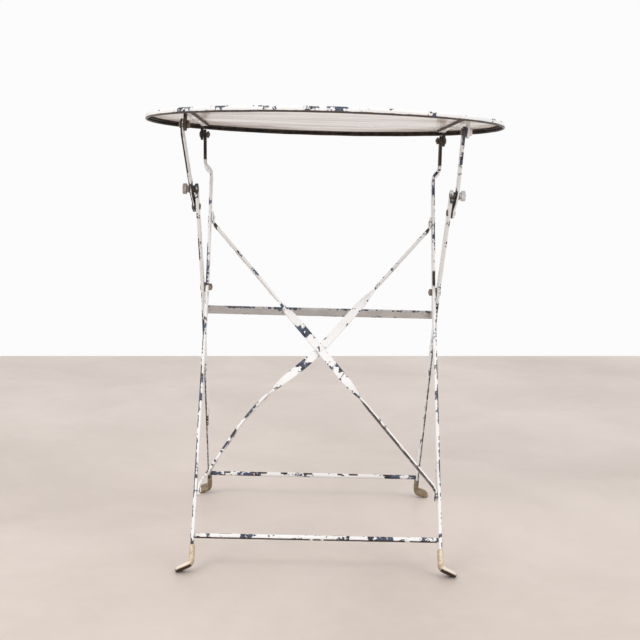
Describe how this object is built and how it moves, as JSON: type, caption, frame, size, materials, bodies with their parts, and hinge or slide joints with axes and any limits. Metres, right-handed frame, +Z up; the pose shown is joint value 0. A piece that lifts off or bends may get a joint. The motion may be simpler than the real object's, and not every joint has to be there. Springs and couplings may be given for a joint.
{
  "type": "folding bistro table",
  "caption": "Round folding cafe table: sheet-steel top with a turned-down rim on crossed flat-bar legs, with a twisted-strip cross brace and thumb-screw locking links.",
  "frame": {"origin": "on the floor, under the middle of the round top", "axes": "+Z up; +X along the hinge bolts, to the right; -Y towards the inner frame's feet"},
  "size_m": [0.6, 0.6, 0.712],
  "materials": {
    "top_paint": "aged white paint, chipped to slate blue and rust at the rim",
    "white_paint": "aged white paint, chipped along the edges to slate blue",
    "worn_bar": "glossy worn paint over grey steel",
    "brass_feet": "dull yellow metal with traces of paint and rust",
    "dark_bronze": "oxidised dark brown steel",
    "rusty_steel": "rusty steel",
    "knob_steel": "dull knurled steel"
  },
  "bodies": {
    "inner_frame": {"inner_leg_left": "white_paint", "foot_near_left": "brass_feet", "foot_screw_near_left": "dark_bronze", "brace_rivet_upper_left": "rusty_steel", "brace_rivet_lower_left": "rusty_steel", "pivot_bolt_left": "dark_bronze", "pivot_washer_left": "rusty_steel", "pivot_nut_left": "dark_bronze", "inner_leg_right": "white_paint", "foot_near_right": "brass_feet", "foot_screw_near_right": "dark_bronze", "brace_rivet_upper_right": "rusty_steel", "brace_rivet_lower_right": "rusty_steel", "pivot_bolt_right": "dark_bronze", "pivot_washer_right": "rusty_steel", "pivot_nut_right": "dark_bronze", "inner_bottom_rod": "white_paint", "brace_rising_right": "white_paint", "brace_rising_left": "white_paint", "brace_rivet": "rusty_steel"},
    "outer_frame": {"outer_leg_left": "white_paint", "foot_far_left": "brass_feet", "foot_screw_far_left": "dark_bronze", "knee_pin_left": "dark_bronze", "outer_leg_right": "white_paint", "foot_far_right": "brass_feet", "foot_screw_far_right": "dark_bronze", "knee_pin_right": "dark_bronze", "outer_bottom_rod": "white_paint", "middle_bar": "worn_bar"},
    "table_top": {"top_sheet": "top_paint", "rail_left": "white_paint", "rail_rivet_left_near": "rusty_steel", "rail_rivet_left_middle": "rusty_steel", "rail_rivet_left_far": "rusty_steel", "hinge_bolt_far_left": "dark_bronze", "hinge_nut_far_left": "dark_bronze", "rail_right": "white_paint", "rail_rivet_right_near": "rusty_steel", "rail_rivet_right_middle": "rusty_steel", "rail_rivet_right_far": "rusty_steel", "hinge_bolt_far_right": "dark_bronze", "hinge_nut_far_right": "dark_bronze", "hinge_bolt_near_left": "dark_bronze", "hinge_nut_near_left": "dark_bronze", "hinge_bolt_near_right": "dark_bronze", "hinge_nut_near_right": "white_paint", "hinge_washer_near_right": "rusty_steel"},
    "left_link": {"upper_link_left": "white_paint", "knee_stud_left": "dark_bronze", "thumb_boss_left": "dark_bronze"},
    "right_link": {"upper_link_right": "white_paint", "knee_stud_right": "dark_bronze", "thumb_boss_right": "dark_bronze"},
    "left_thumb_washer": {"thumb_washer_left": "rusty_steel"},
    "right_thumb_washer": {"thumb_washer_right": "rusty_steel"},
    "left_thumb_screw": {"thumb_screw_left": "knob_steel"},
    "right_thumb_screw": {"thumb_screw_right": "knob_steel"}
  },
  "joints": [
    {"name": "leg_fold", "type": "hinge", "parent": "inner_frame", "child": "outer_frame", "pos_m": [0, 0, 0.425], "axis": [-1, 0, 0], "range_deg": [0, 54]},
    {"name": "top_tilt", "type": "hinge", "parent": "inner_frame", "child": "table_top", "pos_m": [0, 0.145, 0.69], "axis": [1, 0, 0], "range_deg": [0, 55]},
    {"name": "left_link_swing", "type": "hinge", "parent": "table_top", "child": "left_link", "pos_m": [0, -0.145, 0.69], "axis": [1, 0, 0], "range_deg": [0, 60]},
    {"name": "left_thumb_slide", "type": "slide", "parent": "left_link", "child": "left_thumb_washer", "axis": [-1, 0, 0], "range_m": [0, 0.00375]},
    {"name": "left_thumb_turn", "type": "hinge", "parent": "left_thumb_washer", "child": "left_thumb_screw", "pos_m": [-0.22, -0.09072, 0.5908], "axis": [-1, 0, 0], "range_deg": [0, 1080]},
    {"name": "right_link_swing", "type": "hinge", "parent": "table_top", "child": "right_link", "pos_m": [0, -0.145, 0.69], "axis": [1, 0, 0], "range_deg": [0, 60]},
    {"name": "right_thumb_slide", "type": "slide", "parent": "right_link", "child": "right_thumb_washer", "axis": [1, 0, 0], "range_m": [0, 0.00375]},
    {"name": "right_thumb_turn", "type": "hinge", "parent": "right_thumb_washer", "child": "right_thumb_screw", "pos_m": [0.22, -0.09072, 0.5908], "axis": [1, 0, 0], "range_deg": [0, 1080]}
  ],
  "couplings": [
    {"joint": "top_tilt", "follows": "leg_fold", "ratio": 1.0185},
    {"joint": "left_link_swing", "follows": "leg_fold", "ratio": 1.1111},
    {"joint": "left_thumb_slide", "follows": "left_thumb_turn", "m_per_rad": 0.000199},
    {"joint": "right_link_swing", "follows": "leg_fold", "ratio": 1.1111},
    {"joint": "right_thumb_slide", "follows": "right_thumb_turn", "m_per_rad": 0.000199}
  ]
}
